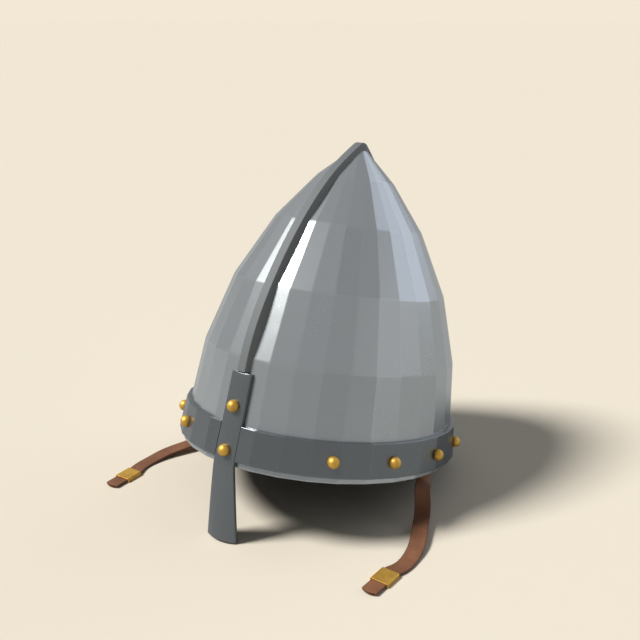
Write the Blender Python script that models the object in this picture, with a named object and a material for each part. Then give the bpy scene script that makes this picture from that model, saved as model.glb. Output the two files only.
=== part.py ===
"""A Norman nasal helmet, laid down on its nasal guard and the back of its rim.

The helmet is modelled upright in its own frame: X is the wearer's left, -Y the front, +Z up along
the skull, and the origin lies at the middle of the brow band's lower edge. An empty then tips that
frame back until the tip of the nasal guard and the back of the rim lie on the surface, z = 0.
The straps lie on the surface and are modelled in the tipped frame's place.
"""

import math

import bmesh
import bpy
import numpy as np
from mathutils import Matrix, Vector

MM = 0.001

# Skull
SKULL_LENGTH = 236.0 * MM
SKULL_WIDTH = 202.6 * MM
SKULL_HEIGHT = 233.4 * MM
SKULL_WALL = 2.0 * MM
SKULL_FACETS = 32
RIM_BELOW_BAND = 4.4 * MM

# Brow band
BAND_HEIGHT = 24.8 * MM
BAND_THICKNESS = 3.0 * MM

# Nasal guard
NASAL_THICKNESS = 3.0 * MM
NASAL_ABOVE_BAND = 36.0 * MM
NASAL_BELOW_BAND = 60.0 * MM
NASAL_TOP_WIDTH = 16.6 * MM
NASAL_RIM_WIDTH = 17.8 * MM
NASAL_TIP_WIDTH = 26.0 * MM
NASAL_TOP_ARCH = 1.0 * MM
NASAL_TIP_ARCH = 4.2 * MM
NASAL_SET_BACK = 8.6 * MM
NASAL_STRIPS = 5

# Crest strip
CREST_HEIGHT = 3.9 * MM
CREST_TOP_WIDTH = 6.6 * MM
CREST_FLANK_SLOPE = 0.4
CREST_DEPTH = 8.5 * MM
CREST_POINT_RISE = 1.3 * MM
CREST_POINT_ROUNDING = 0.7
CREST_STEPS = 5

# Rivets
RIVET_HEAD_RADIUS = 4.3 * MM
RIVET_HEAD_HEIGHT = 5.2 * MM
RIVET_SHANK_RADIUS = 2.0 * MM
RIVET_TAIL_RADIUS = 3.0 * MM
RIVET_TAIL_HEIGHT = 0.9 * MM
RIVET_SIDES = 16
RIVET_ON_ARRIS = 0.02
RIVET_DOME_STEPS = 5
RIVET_BAND_STATIONS = 15
RIVET_FIRST_ANGLE = 42.0
RIVET_BAND_COUNT = 13
RIVET_BAND_HEIGHT = 11.4 * MM
RIVET_NASAL_HEIGHTS = (6.4 * MM, 37.4 * MM)

# Chin straps
STRAP_WIDTH = 11.8 * MM
STRAP_THICKNESS = 1.5 * MM
STRAP_TOP_ABOVE_BAND_EDGE = 7.0 * MM
STRAP_REACH = 116.9 * MM
STRAP_SPREAD = 25.6 * MM
STRAP_TIP_ROUNDING = 2.0 * MM
STRAP_STRAIGHT_BELOW_RIM = 1.5 * MM
STRAP_STRIPS = 4
STRAP_STEPS = 4
STRAP_RIVET_HEIGHT = 2.8 * MM
STRAP_RIVET_RADIUS = 1.6 * MM
STRAP_RIVET_HEAD_RADIUS = 3.4 * MM
STRAP_RIVET_HEAD_HEIGHT = 1.2 * MM

# Strap keepers
KEEPER_LENGTH = 14.8 * MM
KEEPER_WALL = 0.6 * MM
KEEPER_CORNER = 1.0 * MM
KEEPER_CORNER_STEPS = 3
KEEPER_FROM_TIP = 12.9 * MM

# Clearances
SEAT_GAP = 0.4 * MM
FIT_GAP = 0.3 * MM

SMOOTH_ANGLE = math.radians(40)

# Rows of the skull's outer surface, from its lower edge up: each corner's height as a share of
# SKULL_HEIGHT and its half length and half width as shares of the lower edge's.
SKULL_ROWS = (
    {"height": 0.0, "size": 1.0},
    {"height": 0.322, "size": 0.921},
    {"height": 0.544, "size": 0.775},
    {"height": 0.746, "size": 0.540},
    {"height": 0.895, "size": 0.282},
    {"height": 0.991, "size": 0.052},
    {"height": 1.0, "size": 0.0},
)

# Stations of a strap below the rim: forward as a share of STRAP_REACH, outward as a share of
# STRAP_SPREAD, height as a share of the rim's height above the surface, and the share of the
# quarter turn that the strap has made there. The last stretch, through the keeper, is straight.
STRAP_STATIONS = (
    {"forward": 0.079, "outward": 0.081, "height": 0.802, "turn": 0.48},
    {"forward": 0.13, "outward": 0.21, "height": 0.535, "turn": 0.65},
    {"forward": 0.197, "outward": 0.375, "height": 0.278, "turn": 0.91},
    {"forward": 0.295, "outward": 0.563, "height": 0.189, "turn": 1.0},
    {"forward": 0.485, "outward": 0.899, "height": 0.101, "turn": 1.0},
    {"forward": 0.557, "outward": 0.961, "height": 0.061, "turn": 1.0},
    {"forward": 0.70, "outward": 0.955, "height": 0.045, "turn": 1.0},
)
STRAP_LAST_OUTWARD = (0.868, 0.826)
STRAP_LAST_FORWARD = 0.755

# Rows of the nasal guard below the rim, as shares of the way from the rim to its tip.
NASAL_LOWER_ROWS = (0.12, 0.3, 0.55, 0.8, 1.0)

FINISHES = {
    "light_steel": {"colour": (0.23, 0.245, 0.25), "metallic": 1.0, "roughness": 0.38},
    "dark_steel": {"colour": (0.125, 0.135, 0.138), "metallic": 1.0, "roughness": 0.42},
    "brass": {"colour": (0.55, 0.33, 0.07), "metallic": 1.0, "roughness": 0.3},
    "brown_leather": {"colour": (0.21, 0.10, 0.06), "metallic": 0.0, "roughness": 0.6},
}


def clear_scene():
    """Remove the objects that a new file starts with."""
    for thing in list(bpy.data.objects):
        bpy.data.objects.remove(thing, do_unlink=True)


def make_material(name):
    """A Principled BSDF with one of the finishes."""
    finish = FINISHES[name]
    material = bpy.data.materials.new(name)
    material.use_nodes = True
    shader = material.node_tree.nodes["Principled BSDF"]
    shader.inputs["Base Color"].default_value = (*finish["colour"], 1.0)
    shader.inputs["Metallic"].default_value = finish["metallic"]
    shader.inputs["Roughness"].default_value = finish["roughness"]
    return material


def add_object(name, points, faces, material, parent, smooth=False):
    """One object from points and faces, with its faces turned outward."""
    mesh = bpy.data.meshes.new(name)
    mesh.from_pydata([tuple(point) for point in points], [], faces)
    shape = bmesh.new()
    shape.from_mesh(mesh)
    bmesh.ops.recalc_face_normals(shape, faces=shape.faces[:])
    shape.to_mesh(mesh)
    shape.free()
    if smooth:
        mesh.shade_smooth()
        mesh.set_sharp_from_angle(angle=SMOOTH_ANGLE)
    if material is not None:
        mesh.materials.append(material)
    thing = bpy.data.objects.new(name, mesh)
    thing.parent = parent
    bpy.context.scene.collection.objects.link(thing)
    return thing


def loft(sections):
    """Points and faces of a closed solid through sections of equal point count, with flat ends."""
    count, corners = len(sections), len(sections[0])
    points = [tuple(point) for section in sections for point in section]
    faces = []
    for i in range(count - 1):
        for k in range(corners):
            n = (k + 1) % corners
            faces.append((i * corners + k, i * corners + n, (i + 1) * corners + n, (i + 1) * corners + k))
    faces.append(tuple(range(corners)))
    faces.append(tuple((count - 1) * corners + k for k in range(corners)))
    return points, faces


def merged(parts):
    """Points and faces of several separate solids as one list."""
    points, faces = [], []
    for part_points, part_faces in parts:
        start = len(points)
        points.extend(part_points)
        faces.extend(tuple(start + index for index in face) for face in part_faces)
    return points, faces


def cut(thing, cutter):
    """Subtract a cutter, which stays in the file as a wire guide."""
    cutter.hide_render = True
    cutter.display_type = "WIRE"
    modifier = thing.modifiers.new("Cut", "BOOLEAN")
    modifier.operation = "DIFFERENCE"
    modifier.solver = "EXACT"
    modifier.object = cutter


def spread(strips):
    """The edges of equal strips across a width that runs from -1 to 1."""
    return [2 * k / strips - 1 for k in range(strips + 1)]


def smooth_path(corners, steps):
    """Points of a natural cubic spline through the corners, with steps points to each span."""
    corners = np.array([tuple(corner) for corner in corners])
    spans = np.linalg.norm(np.diff(corners, axis=0), axis=1)
    count = len(corners)
    matrix = np.eye(count)
    right = np.zeros_like(corners)
    for i in range(1, count - 1):
        matrix[i, i - 1:i + 2] = spans[i - 1], 2 * (spans[i - 1] + spans[i]), spans[i]
        right[i] = 6 * ((corners[i + 1] - corners[i]) / spans[i] - (corners[i] - corners[i - 1]) / spans[i - 1])
    bend = np.linalg.solve(matrix, right)
    path = []
    for i in range(count - 1):
        for share in np.arange(steps) / steps:
            rest = 1 - share
            path.append(rest * corners[i] + share * corners[i + 1]
                        + spans[i] ** 2 / 6 * ((rest ** 3 - rest) * bend[i] + (share ** 3 - share) * bend[i + 1]))
    path.append(corners[-1])
    return np.array(path)


def skull_rows(offset=0.0):
    """Half length, half width and height of each row of the skull, moved outward by offset."""
    half_length, half_width = SKULL_LENGTH / 2, SKULL_WIDTH / 2
    rows = np.array([(half_length * row["size"], half_width * row["size"],
                      SKULL_HEIGHT * row["height"] - RIM_BELOW_BAND) for row in SKULL_ROWS])
    profile = rows[:, [0, 2]]
    along = np.diff(profile, axis=0)
    normals = np.stack([along[:, 1], -along[:, 0]], axis=1)
    normals /= np.linalg.norm(normals, axis=1)[:, None]
    moved = []
    for i, (length, width, height) in enumerate(rows):
        first = normals[max(i - 1, 0)]
        second = normals[min(i, len(normals) - 1)]
        corner = (first + second) / (1 + first @ second)
        if i == 0:
            corner = np.array([1 / first[0], 0.0])
        if i == len(rows) - 1:
            corner = np.array([0.0, 1 / second[1]])
        moved.append((length + offset * corner[0], width + offset * corner[0], height + offset * corner[1]))
    return moved


def wall_sizes(height, offset=0.0):
    """Half length and half width of the skull's lowest row at a height."""
    low, high = skull_rows(offset)[:2]
    share = (height - low[2]) / (high[2] - low[2])
    return low[0] + share * (high[0] - low[0]), low[1] + share * (high[1] - low[1])


def ring_point(sizes, height, angle):
    """A point on an oval ring, its angle counted from the front towards the wearer's left."""
    return Vector((sizes[1] * math.sin(angle), -sizes[0] * math.cos(angle), height))


def column_angle(column):
    """The angle of one of the skull's upright arrises."""
    return 2 * math.pi * column / SKULL_FACETS


def facet_drop(sizes):
    """How far the two front facets fall back for each unit sideways from the middle."""
    angle = column_angle(1)
    return (1 - math.cos(angle)) * sizes[0] / (math.sin(angle) * sizes[1])


def front_point(sizes, height, sideways):
    """A point of one of the two front facets, at a distance sideways from the middle."""
    return Vector((sideways, -sizes[0] + facet_drop(sizes) * abs(sideways), height))


def dome(offset, first_row=0):
    """Rings of a dome over the skull's rows, and the point on top of it."""
    rows = skull_rows(offset)
    rings = []
    for length, width, height in rows[first_row:-1]:
        rings.append([ring_point((length, width), height, column_angle(k)) for k in range(SKULL_FACETS)])
    return rings, Vector((0.0, 0.0, rows[-1][2]))


def band_faces(first, second, count=SKULL_FACETS):
    """Quads between two rings whose points start at the indices first and second."""
    return [(first + k, first + (k + 1) % count, second + (k + 1) % count, second + k) for k in range(count)]


def add_skull(material, frame):
    """The faceted cap: an outer and an inner dome, joined along the lower edge."""
    points, faces, starts = [], [], []
    for offset in (0.0, -SKULL_WALL):
        rings, top = dome(offset)
        start = len(points)
        starts.append(start)
        points += [point for ring in rings for point in ring] + [top]
        for i in range(len(rings) - 1):
            faces += band_faces(start + i * SKULL_FACETS, start + (i + 1) * SKULL_FACETS)
        last = start + (len(rings) - 1) * SKULL_FACETS
        faces += [(last + k, last + (k + 1) % SKULL_FACETS, len(points) - 1) for k in range(SKULL_FACETS)]
    faces += band_faces(*starts)
    return add_object("skull", points, faces, material, frame)


def add_skull_space(frame):
    """A solid dome a fit gap larger than the skull, for cutting what lies on it."""
    rings, top = dome(FIT_GAP)
    points = [point for ring in rings for point in ring] + [top]
    faces = [tuple(range(SKULL_FACETS))]
    for i in range(len(rings) - 1):
        faces += band_faces(i * SKULL_FACETS, (i + 1) * SKULL_FACETS)
    last = (len(rings) - 1) * SKULL_FACETS
    faces += [(last + k, last + (k + 1) % SKULL_FACETS, len(points) - 1) for k in range(SKULL_FACETS)]
    return add_object("skull_space", points, faces, None, frame)


def nasal_half_width(height):
    """Half width of the nasal guard at a height on the skull."""
    top = BAND_HEIGHT + NASAL_ABOVE_BAND
    share = (top - height) / (top + RIM_BELOW_BAND)
    return (NASAL_TOP_WIDTH + share * (NASAL_RIM_WIDTH - NASAL_TOP_WIDTH)) / 2


def add_band(material, frame):
    """The brow band: a faceted strip bent round the skull, its ends beside the nasal guard."""
    def corner(offset, height, column):
        sizes = wall_sizes(height, offset)
        if column in (0, SKULL_FACETS):
            side = 1 if column == 0 else -1
            return front_point(sizes, height, side * (nasal_half_width(height) + FIT_GAP))
        return ring_point(sizes, height, column_angle(column))

    inner, outer = SEAT_GAP, SEAT_GAP + BAND_THICKNESS
    sections = [[corner(inner, 0.0, column), corner(inner, BAND_HEIGHT, column),
                 corner(outer, BAND_HEIGHT, column), corner(outer, 0.0, column)]
                for column in range(SKULL_FACETS + 1)]
    return add_object("brow_band", *loft(sections), material, frame)


def nasal_sections():
    """Height, front face, half width and arch of the nasal guard, from its top to its tip."""
    proud = SEAT_GAP + NASAL_THICKNESS
    top = BAND_HEIGHT + NASAL_ABOVE_BAND
    rim = -RIM_BELOW_BAND
    rim_front = -wall_sizes(rim, proud)[0]
    rows = [(height, -wall_sizes(height, proud)[0], nasal_half_width(height), NASAL_TOP_ARCH)
            for height in (top, BAND_HEIGHT, 0.0, rim)]
    for share in NASAL_LOWER_ROWS:
        eased = share * (1 + share) / 2
        rows.append((rim - share * (NASAL_BELOW_BAND - RIM_BELOW_BAND),
                     rim_front + (NASAL_SET_BACK - NASAL_TIP_ARCH + NASAL_TOP_ARCH) * (share + eased) / 2,
                     (NASAL_RIM_WIDTH + share * (NASAL_TIP_WIDTH - NASAL_RIM_WIDTH)) / 2,
                     NASAL_TOP_ARCH + share * (NASAL_TIP_ARCH - NASAL_TOP_ARCH)))
    return rows


def nasal_point(row, across, depth):
    """A point of the nasal guard: across runs from -1 to 1 over its width."""
    height, front, half_width, arch = row
    return Vector((across * half_width, front + arch * across ** 2 + depth, height))


def add_nasal_guard(material, frame):
    """The bar over the nose: nearly flat on the skull, arched and wider towards its tip."""
    across = spread(NASAL_STRIPS)
    sections = [[nasal_point(row, u, 0.0) for u in across]
                + [nasal_point(row, u, NASAL_THICKNESS) for u in reversed(across)]
                for row in nasal_sections()]
    return add_object("nasal_guard", *loft(sections), material, frame, smooth=True)


def rest_points():
    """The back of the rim and the tip of the nasal guard, which the helmet lies on."""
    return (Vector((0.0, SKULL_LENGTH / 2, -RIM_BELOW_BAND)),
            nasal_point(nasal_sections()[-1], 1.0, NASAL_THICKNESS))


def crest_line(offset, rise):
    """A line at a distance over the skull's middle arrises, front to back, as (y, z).

    Both sides run up to a corner over the skull's point, which is raised by rise and rounded.
    """
    rows = skull_rows(offset)
    point = (0.0, rows[-1][2] + rise)
    sides = []
    for sign, start in ((-1, BAND_HEIGHT + NASAL_ABOVE_BAND), (1, BAND_HEIGHT)):
        start += SEAT_GAP + FIT_GAP
        corners = [(sign * wall_sizes(start, offset)[0], start)]
        corners += [(sign * row[0], row[2]) for row in rows[1:-2]]
        sides.append(smooth_path(corners + [point], CREST_STEPS)[:-1])
    point = np.array(point)
    front, back = (point + (side[-1] - point) * CREST_POINT_ROUNDING for side in sides)
    bend = [(1 - t) ** 2 * front + 2 * t * (1 - t) * point + t ** 2 * back
            for t in np.arange(CREST_STEPS) / (CREST_STEPS - 1)]
    return np.concatenate([sides[0], bend, sides[1][::-1]])


def add_crest_strip(material, frame, skull_space):
    """A strip with sloped flanks along the skull's middle, cut to lie on its facets."""
    half_top = CREST_TOP_WIDTH / 2
    half_foot = half_top + CREST_FLANK_SLOPE * CREST_DEPTH
    upper = crest_line(CREST_HEIGHT, CREST_POINT_RISE)
    lower = crest_line(CREST_HEIGHT - CREST_DEPTH, 0.0)
    sections = [[Vector((-half_top, *high)), Vector((half_top, *high)),
                 Vector((half_foot, *low)), Vector((-half_foot, *low))] for high, low in zip(upper, lower)]
    strip = add_object("crest_strip", *loft(sections), material, frame)
    cut(strip, skull_space)
    return strip


def turned(profile, sides=RIVET_SIDES):
    """Points and faces of a turned piece along +Z, from a profile of (radius, height)."""
    points, faces = [], []
    for radius, height in profile:
        for k in range(sides):
            angle = 2 * math.pi * k / sides
            points.append(Vector((radius * math.cos(angle), radius * math.sin(angle), height)))
    for i in range(len(profile) - 1):
        faces += band_faces(i * sides, (i + 1) * sides, sides)
    faces.append(tuple(range(sides)))
    faces.append(tuple(range((len(profile) - 1) * sides, len(profile) * sides)))
    return points, faces


def rivet_profile(grip):
    """A rivet along +Z, its seat at z = 0: flat tail, shank through the grip and domed head."""
    tail_top = -grip - FIT_GAP - RIVET_TAIL_RADIUS * math.tan(column_angle(1) / 2)
    dome_foot = FIT_GAP + RIVET_HEAD_HEIGHT - RIVET_HEAD_RADIUS
    dome = [math.pi / 2 * step / RIVET_DOME_STEPS for step in range(RIVET_DOME_STEPS)]
    head = [(RIVET_HEAD_RADIUS, FIT_GAP)]
    head += [(RIVET_HEAD_RADIUS * math.cos(a), dome_foot + RIVET_HEAD_RADIUS * math.sin(a)) for a in dome]
    return [(RIVET_SHANK_RADIUS, tail_top - RIVET_TAIL_HEIGHT), (RIVET_TAIL_RADIUS, tail_top - RIVET_TAIL_HEIGHT / 2),
            (RIVET_TAIL_RADIUS, tail_top), (RIVET_SHANK_RADIUS, tail_top), (RIVET_SHANK_RADIUS, FIT_GAP)] + head


def seat_matrix(place, outward):
    """A frame with its origin at a place and +Z along the outward direction."""
    turn = outward.to_track_quat("Z", "Y")
    return Matrix.Translation(place) @ turn.to_matrix().to_4x4()


def band_seat(degrees, height, offset):
    """The seat of a rivet on the band at an angle: on a facet, or upright on an arris."""
    column = (degrees % 360.0) / (360.0 / SKULL_FACETS)
    lower, upper = 0.0, BAND_HEIGHT

    def facet(index):
        corners = [ring_point(wall_sizes(z, offset), z, column_angle(index + side))
                   for z, side in ((lower, 0), (lower, 1), (upper, 1), (upper, 0))]
        normal = (corners[1] - corners[0]).cross(corners[3] - corners[0]).normalized()
        return corners, normal

    index = math.floor(column + RIVET_ON_ARRIS)
    share = max(column - index, 0.0)
    corners, normal = facet(index)
    up = (height - lower) / (upper - lower)
    low = corners[0].lerp(corners[1], share)
    high = corners[3].lerp(corners[2], share)
    if share < RIVET_ON_ARRIS:
        normal = (normal + facet(index - 1)[1]).normalized()
    return low.lerp(high, up), normal


def nasal_seat(height):
    """The seat of a rivet on the nasal guard's middle line."""
    proud = SEAT_GAP + NASAL_THICKNESS
    low, high = wall_sizes(0.0, proud)[0], wall_sizes(BAND_HEIGHT, proud)[0]
    outward = Vector((0.0, -BAND_HEIGHT, low - high)).normalized()
    return Vector((0.0, -wall_sizes(height, proud)[0], height)), outward


def strap_seat(side):
    """The place on the skull's outer face where a strap's rivet goes through, and its direction."""
    low, high = (wall_sizes(height)[1] for height in (0.0, BAND_HEIGHT))
    outward = Vector((side * BAND_HEIGHT, 0.0, low - high)).normalized()
    return Vector((side * wall_sizes(STRAP_RIVET_HEIGHT)[1], 0.0, STRAP_RIVET_HEIGHT)), outward


def strap_gap():
    """The gap at the strap's middle that keeps its edges clear of the two facets behind it."""
    length, width = wall_sizes(0.0)
    angle = column_angle(1)
    return FIT_GAP + (1 - math.cos(angle)) * width / (math.sin(angle) * length) * STRAP_WIDTH / 2


def transformed(matrix, solid):
    """A solid's points moved by a matrix, with its faces."""
    points, faces = solid
    return [matrix @ point for point in points], faces


def add_rivets(material, frame):
    """The rivets of the band and the nasal guard, and one cutter for all of their holes."""
    grip = BAND_THICKNESS + SEAT_GAP + SKULL_WALL
    nasal_grip = NASAL_THICKNESS + SEAT_GAP + SKULL_WALL
    step = 360.0 / RIVET_BAND_STATIONS
    seats = []
    for k in range(RIVET_BAND_COUNT):
        place, outward = band_seat(RIVET_FIRST_ANGLE + k * step, RIVET_BAND_HEIGHT, SEAT_GAP + BAND_THICKNESS)
        seats.append((f"band_rivet_{k + 1:02d}", place, outward, grip))
    for name, height in zip(("nasal_rivet_lower", "nasal_rivet_upper"), RIVET_NASAL_HEIGHTS):
        place, outward = nasal_seat(height)
        seats.append((name, place, outward, nasal_grip))
    holes = []
    for name, place, outward, depth in seats:
        matrix = seat_matrix(place, outward)
        rivet = add_object(name, *turned(rivet_profile(depth)), material, frame, smooth=True)
        rivet.matrix_local = matrix
        hole = [(RIVET_SHANK_RADIUS + FIT_GAP, -2 * depth), (RIVET_SHANK_RADIUS + FIT_GAP, depth)]
        holes.append(transformed(matrix, turned(hole, RIVET_SIDES)))
    return add_object("rivet_holes", *merged(holes), None, frame)


def strap_line(side, floor_drop, tilt):
    """Places, width directions and share of turn along a strap, in the tipped place.

    The strap starts flat against the skull's inner wall, hangs below the rim, makes a quarter
    turn and runs forward and outward on the surface.
    """
    tip = Matrix.Rotation(-tilt, 4, "X")
    lift = Vector((0.0, 0.0, floor_drop))
    inside = -(SKULL_WALL + strap_gap() + STRAP_THICKNESS / 2)
    place, outward = strap_seat(side)
    down = Vector((outward.z * side, 0.0, -abs(outward.x)))
    down.x = abs(down.x) * side
    wall = [tip @ (place + outward * inside + down * (STRAP_RIVET_HEIGHT - height)) + lift
            for height in (STRAP_TOP_ABOVE_BAND_EDGE, STRAP_RIVET_HEIGHT, -RIM_BELOW_BAND,
                           -RIM_BELOW_BAND - STRAP_STRAIGHT_BELOW_RIM)]
    rim = wall[2]
    points = list(wall)
    turns = [0.0] * len(wall)
    for station in STRAP_STATIONS:
        points.append(Vector((rim.x + side * STRAP_SPREAD * station["outward"],
                              rim.y - STRAP_REACH * station["forward"],
                              max(rim.z * station["height"], STRAP_THICKNESS / 2))))
        turns.append(station["turn"])
    held = KEEPER_WALL + FIT_GAP + STRAP_THICKNESS / 2
    for forward, outward_share in zip((STRAP_LAST_FORWARD, 1.0), STRAP_LAST_OUTWARD):
        points.append(Vector((rim.x + side * STRAP_SPREAD * outward_share, rim.y - STRAP_REACH * forward, held)))
        turns.append(1.0)
    return points, turns, tip @ Vector((0.0, 1.0, 0.0))


def strap_sections(side, floor_drop, tilt):
    """Cross-sections of a strap, with a rounded tip."""
    corners, turns, start_width = strap_line(side, floor_drop, tilt)
    path = list(smooth_path(corners[:-1], STRAP_STEPS)) + [np.array(corners[-1])]
    turn_at = [turns[i] + (turns[i + 1] - turns[i]) * k / STRAP_STEPS
               for i in range(len(turns) - 2) for k in range(STRAP_STEPS)]
    turn_at += [1.0, 1.0]
    along = np.gradient(np.array(path), axis=0)
    along[-2:] = path[-1] - path[-2]
    sections = []
    for place, run, turn in zip(path, along, turn_at):
        run = Vector(run).normalized()
        quarter = turn * math.pi / 2
        width = start_width * math.cos(quarter) + Vector((side, 0.0, 0.0)) * math.sin(quarter)
        width = (width - run * width.dot(run)).normalized()
        thick = width.cross(run).normalized()
        across = [u * STRAP_WIDTH / 2 for u in spread(STRAP_STRIPS)]
        row = [Vector(place) + width * u for u in across]
        if len(sections) == len(path) - 1:
            row = [point - run * STRAP_TIP_ROUNDING * (2 * u / STRAP_WIDTH) ** 2 for point, u in zip(row, across)]
        sections.append([point + thick * STRAP_THICKNESS / 2 for point in row]
                        + [point - thick * STRAP_THICKNESS / 2 for point in reversed(row)])
    return sections


def add_strap(name, side, material, root, floor_drop, tilt):
    """One leather strap, and the straight stretch that its keeper sits on."""
    sections = strap_sections(side, floor_drop, tilt)
    strap = add_object(name, *loft(sections), material, root, smooth=True)
    corners = strap_line(side, floor_drop, tilt)[0]
    return strap, corners[-1], (corners[-1] - corners[-2]).normalized()


def add_keeper(name, tip, run, material, root):
    """A sleeve round the strap, flat on the surface, with rounded upper corners."""
    half_width = STRAP_WIDTH / 2 + FIT_GAP + KEEPER_WALL
    height = STRAP_THICKNESS + 2 * FIT_GAP + 2 * KEEPER_WALL
    turn = [math.pi / 2 * step / KEEPER_CORNER_STEPS for step in range(KEEPER_CORNER_STEPS + 1)]
    outer = [(half_width, 0.0)]
    outer += [(half_width - KEEPER_CORNER + KEEPER_CORNER * math.cos(a),
               height - KEEPER_CORNER + KEEPER_CORNER * math.sin(a)) for a in turn]
    outer += [(-x, z) for x, z in reversed(outer)]
    inner_half = half_width - KEEPER_WALL
    inner_top = height - KEEPER_WALL
    inner = [(inner_half, KEEPER_WALL)]
    inner += [(inner_half - FIT_GAP + FIT_GAP * math.cos(a),
               inner_top - FIT_GAP + FIT_GAP * math.sin(a)) for a in turn]
    inner += [(-x, z) for x, z in reversed(inner)]
    count = len(outer)
    points, faces = [], []
    for loop in (outer, inner):
        for end in (-KEEPER_LENGTH / 2, KEEPER_LENGTH / 2):
            points += [Vector((x, end, z)) for x, z in loop]
    for k in range(count):
        n = (k + 1) % count
        faces.append((k, n, count + n, count + k))
        faces.append((2 * count + k, 3 * count + k, 3 * count + n, 2 * count + n))
        faces.append((k, 2 * count + k, 2 * count + n, n))
        faces.append((count + k, count + n, 3 * count + n, 3 * count + k))
    keeper = add_object(name, points, faces, material, root, smooth=True)
    centre = tip - run * (KEEPER_FROM_TIP + KEEPER_LENGTH / 2)
    keeper.location = (centre.x, centre.y, 0.0)
    keeper.rotation_euler = (0.0, 0.0, math.atan2(run.x, -run.y))
    return keeper


def strap_rivet_profile():
    """A strap rivet along +Z, the skull's outer face at z = 0: flat head, then shank."""
    head_top = -(SKULL_WALL + strap_gap() + STRAP_THICKNESS + FIT_GAP)
    return [(STRAP_RIVET_RADIUS, head_top - STRAP_RIVET_HEAD_HEIGHT),
            (STRAP_RIVET_HEAD_RADIUS, head_top - STRAP_RIVET_HEAD_HEIGHT / 2),
            (STRAP_RIVET_HEAD_RADIUS, head_top), (STRAP_RIVET_RADIUS, head_top), (STRAP_RIVET_RADIUS, 0.0)]


def add_strap_rivets(material, frame):
    """The hidden rivets that hold the straps inside the skull, and a cutter for their holes."""
    holes = []
    for name, side in (("strap_rivet_left", 1), ("strap_rivet_right", -1)):
        matrix = seat_matrix(*strap_seat(side))
        rivet = add_object(name, *turned(strap_rivet_profile()), material, frame, smooth=True)
        rivet.matrix_local = matrix
        depth = SKULL_WALL + strap_gap() + STRAP_THICKNESS + 2 * FIT_GAP
        hole = [(STRAP_RIVET_RADIUS + FIT_GAP, -depth), (STRAP_RIVET_RADIUS + FIT_GAP, FIT_GAP / 2)]
        holes.append(transformed(matrix, turned(hole, RIVET_SIDES)))
    return add_object("strap_rivet_holes", *merged(holes), None, frame)


def centre_on_origin(root):
    """Move the whole helmet so that the middle of its box lies over the origin."""
    bpy.context.view_layer.update()
    ends = []
    for thing in bpy.data.objects:
        if thing.type == "MESH" and not thing.hide_render:
            ends += [(thing.matrix_world @ vertex.co).y for vertex in thing.data.vertices]
    root.location.y -= (min(ends) + max(ends)) / 2


def main():
    clear_scene()
    light, dark, brass, leather = (make_material(name) for name in FINISHES)

    back, tip = rest_points()
    tilt = math.atan2(back.z - tip.z, back.y - tip.y)
    floor_drop = back.y * math.sin(tilt) - back.z * math.cos(tilt)

    root = bpy.data.objects.new("helmet_place", None)
    frame = bpy.data.objects.new("helmet_frame", None)
    for empty in (root, frame):
        bpy.context.scene.collection.objects.link(empty)
    frame.parent = root
    frame.location.z = floor_drop
    frame.rotation_euler.x = -tilt

    skull = add_skull(light, frame)
    add_crest_strip(light, frame, add_skull_space(frame))
    band = add_band(dark, frame)
    nasal = add_nasal_guard(dark, frame)
    holes = add_rivets(brass, frame)
    strap_holes = add_strap_rivets(brass, frame)
    for thing in (skull, band, nasal):
        cut(thing, holes)
    cut(skull, strap_holes)

    for word, side in (("left", 1), ("right", -1)):
        strap, end, run = add_strap(f"chin_strap_{word}", side, leather, root, floor_drop, tilt)
        cut(strap, strap_holes)
        add_keeper(f"strap_keeper_{word}", end, run, brass, root)
    centre_on_origin(root)


main()
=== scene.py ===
"""The looks of a Norman nasal helmet: forged plates, brass fittings, leather straps and a plain studio."""

import math

import bpy
import numpy as np
from bpy.props import FloatProperty, FloatVectorProperty, IntProperty, PointerProperty
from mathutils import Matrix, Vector


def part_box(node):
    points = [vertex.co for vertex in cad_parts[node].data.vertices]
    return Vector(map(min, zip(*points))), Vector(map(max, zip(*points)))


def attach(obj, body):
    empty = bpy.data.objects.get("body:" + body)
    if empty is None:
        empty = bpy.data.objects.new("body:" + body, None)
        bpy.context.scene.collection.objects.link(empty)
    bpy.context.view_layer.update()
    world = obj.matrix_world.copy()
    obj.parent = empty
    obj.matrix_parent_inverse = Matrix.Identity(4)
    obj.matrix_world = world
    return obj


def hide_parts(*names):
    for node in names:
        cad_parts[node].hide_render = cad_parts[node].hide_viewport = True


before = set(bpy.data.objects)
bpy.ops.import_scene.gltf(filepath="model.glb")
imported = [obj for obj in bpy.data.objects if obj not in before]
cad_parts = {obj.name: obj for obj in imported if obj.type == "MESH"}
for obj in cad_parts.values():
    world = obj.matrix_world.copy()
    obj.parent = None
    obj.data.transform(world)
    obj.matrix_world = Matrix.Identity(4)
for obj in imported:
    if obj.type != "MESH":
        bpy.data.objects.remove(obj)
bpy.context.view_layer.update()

bl_info = {
    "name": "Nasal helmet",
    "version": (1, 0, 0),
    "blender": (4, 5, 0),
    "location": "3D View > Sidebar > Helmet",
    "description": "Builds the visible surfaces of a nasal helmet and its studio",
    "category": "Mesh",
}

MM = 0.001
SIDES = (("left", 1.0), ("right", -1.0))

# Rows of the skull from its lower edge up: height as a share of its height, size as a share of its rim.
ROW_HEIGHTS = np.array([0.0, 0.322, 0.544, 0.746, 0.895, 0.991, 1.0])
ROW_SIZES = np.array([1.0, 0.921, 0.775, 0.540, 0.282, 0.052, 0.0])

# Rounding between the rows as a share of the arris rounding, at the lower edge as a share of the wall, and
# the largest share of a row that it takes.
ROW_ROUNDING = 1.2
RIM_ROUNDING = 0.42
MOST_ROUNDING = 0.45

# Points along a rounded corner.
BEND_STEPS = 5

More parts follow.
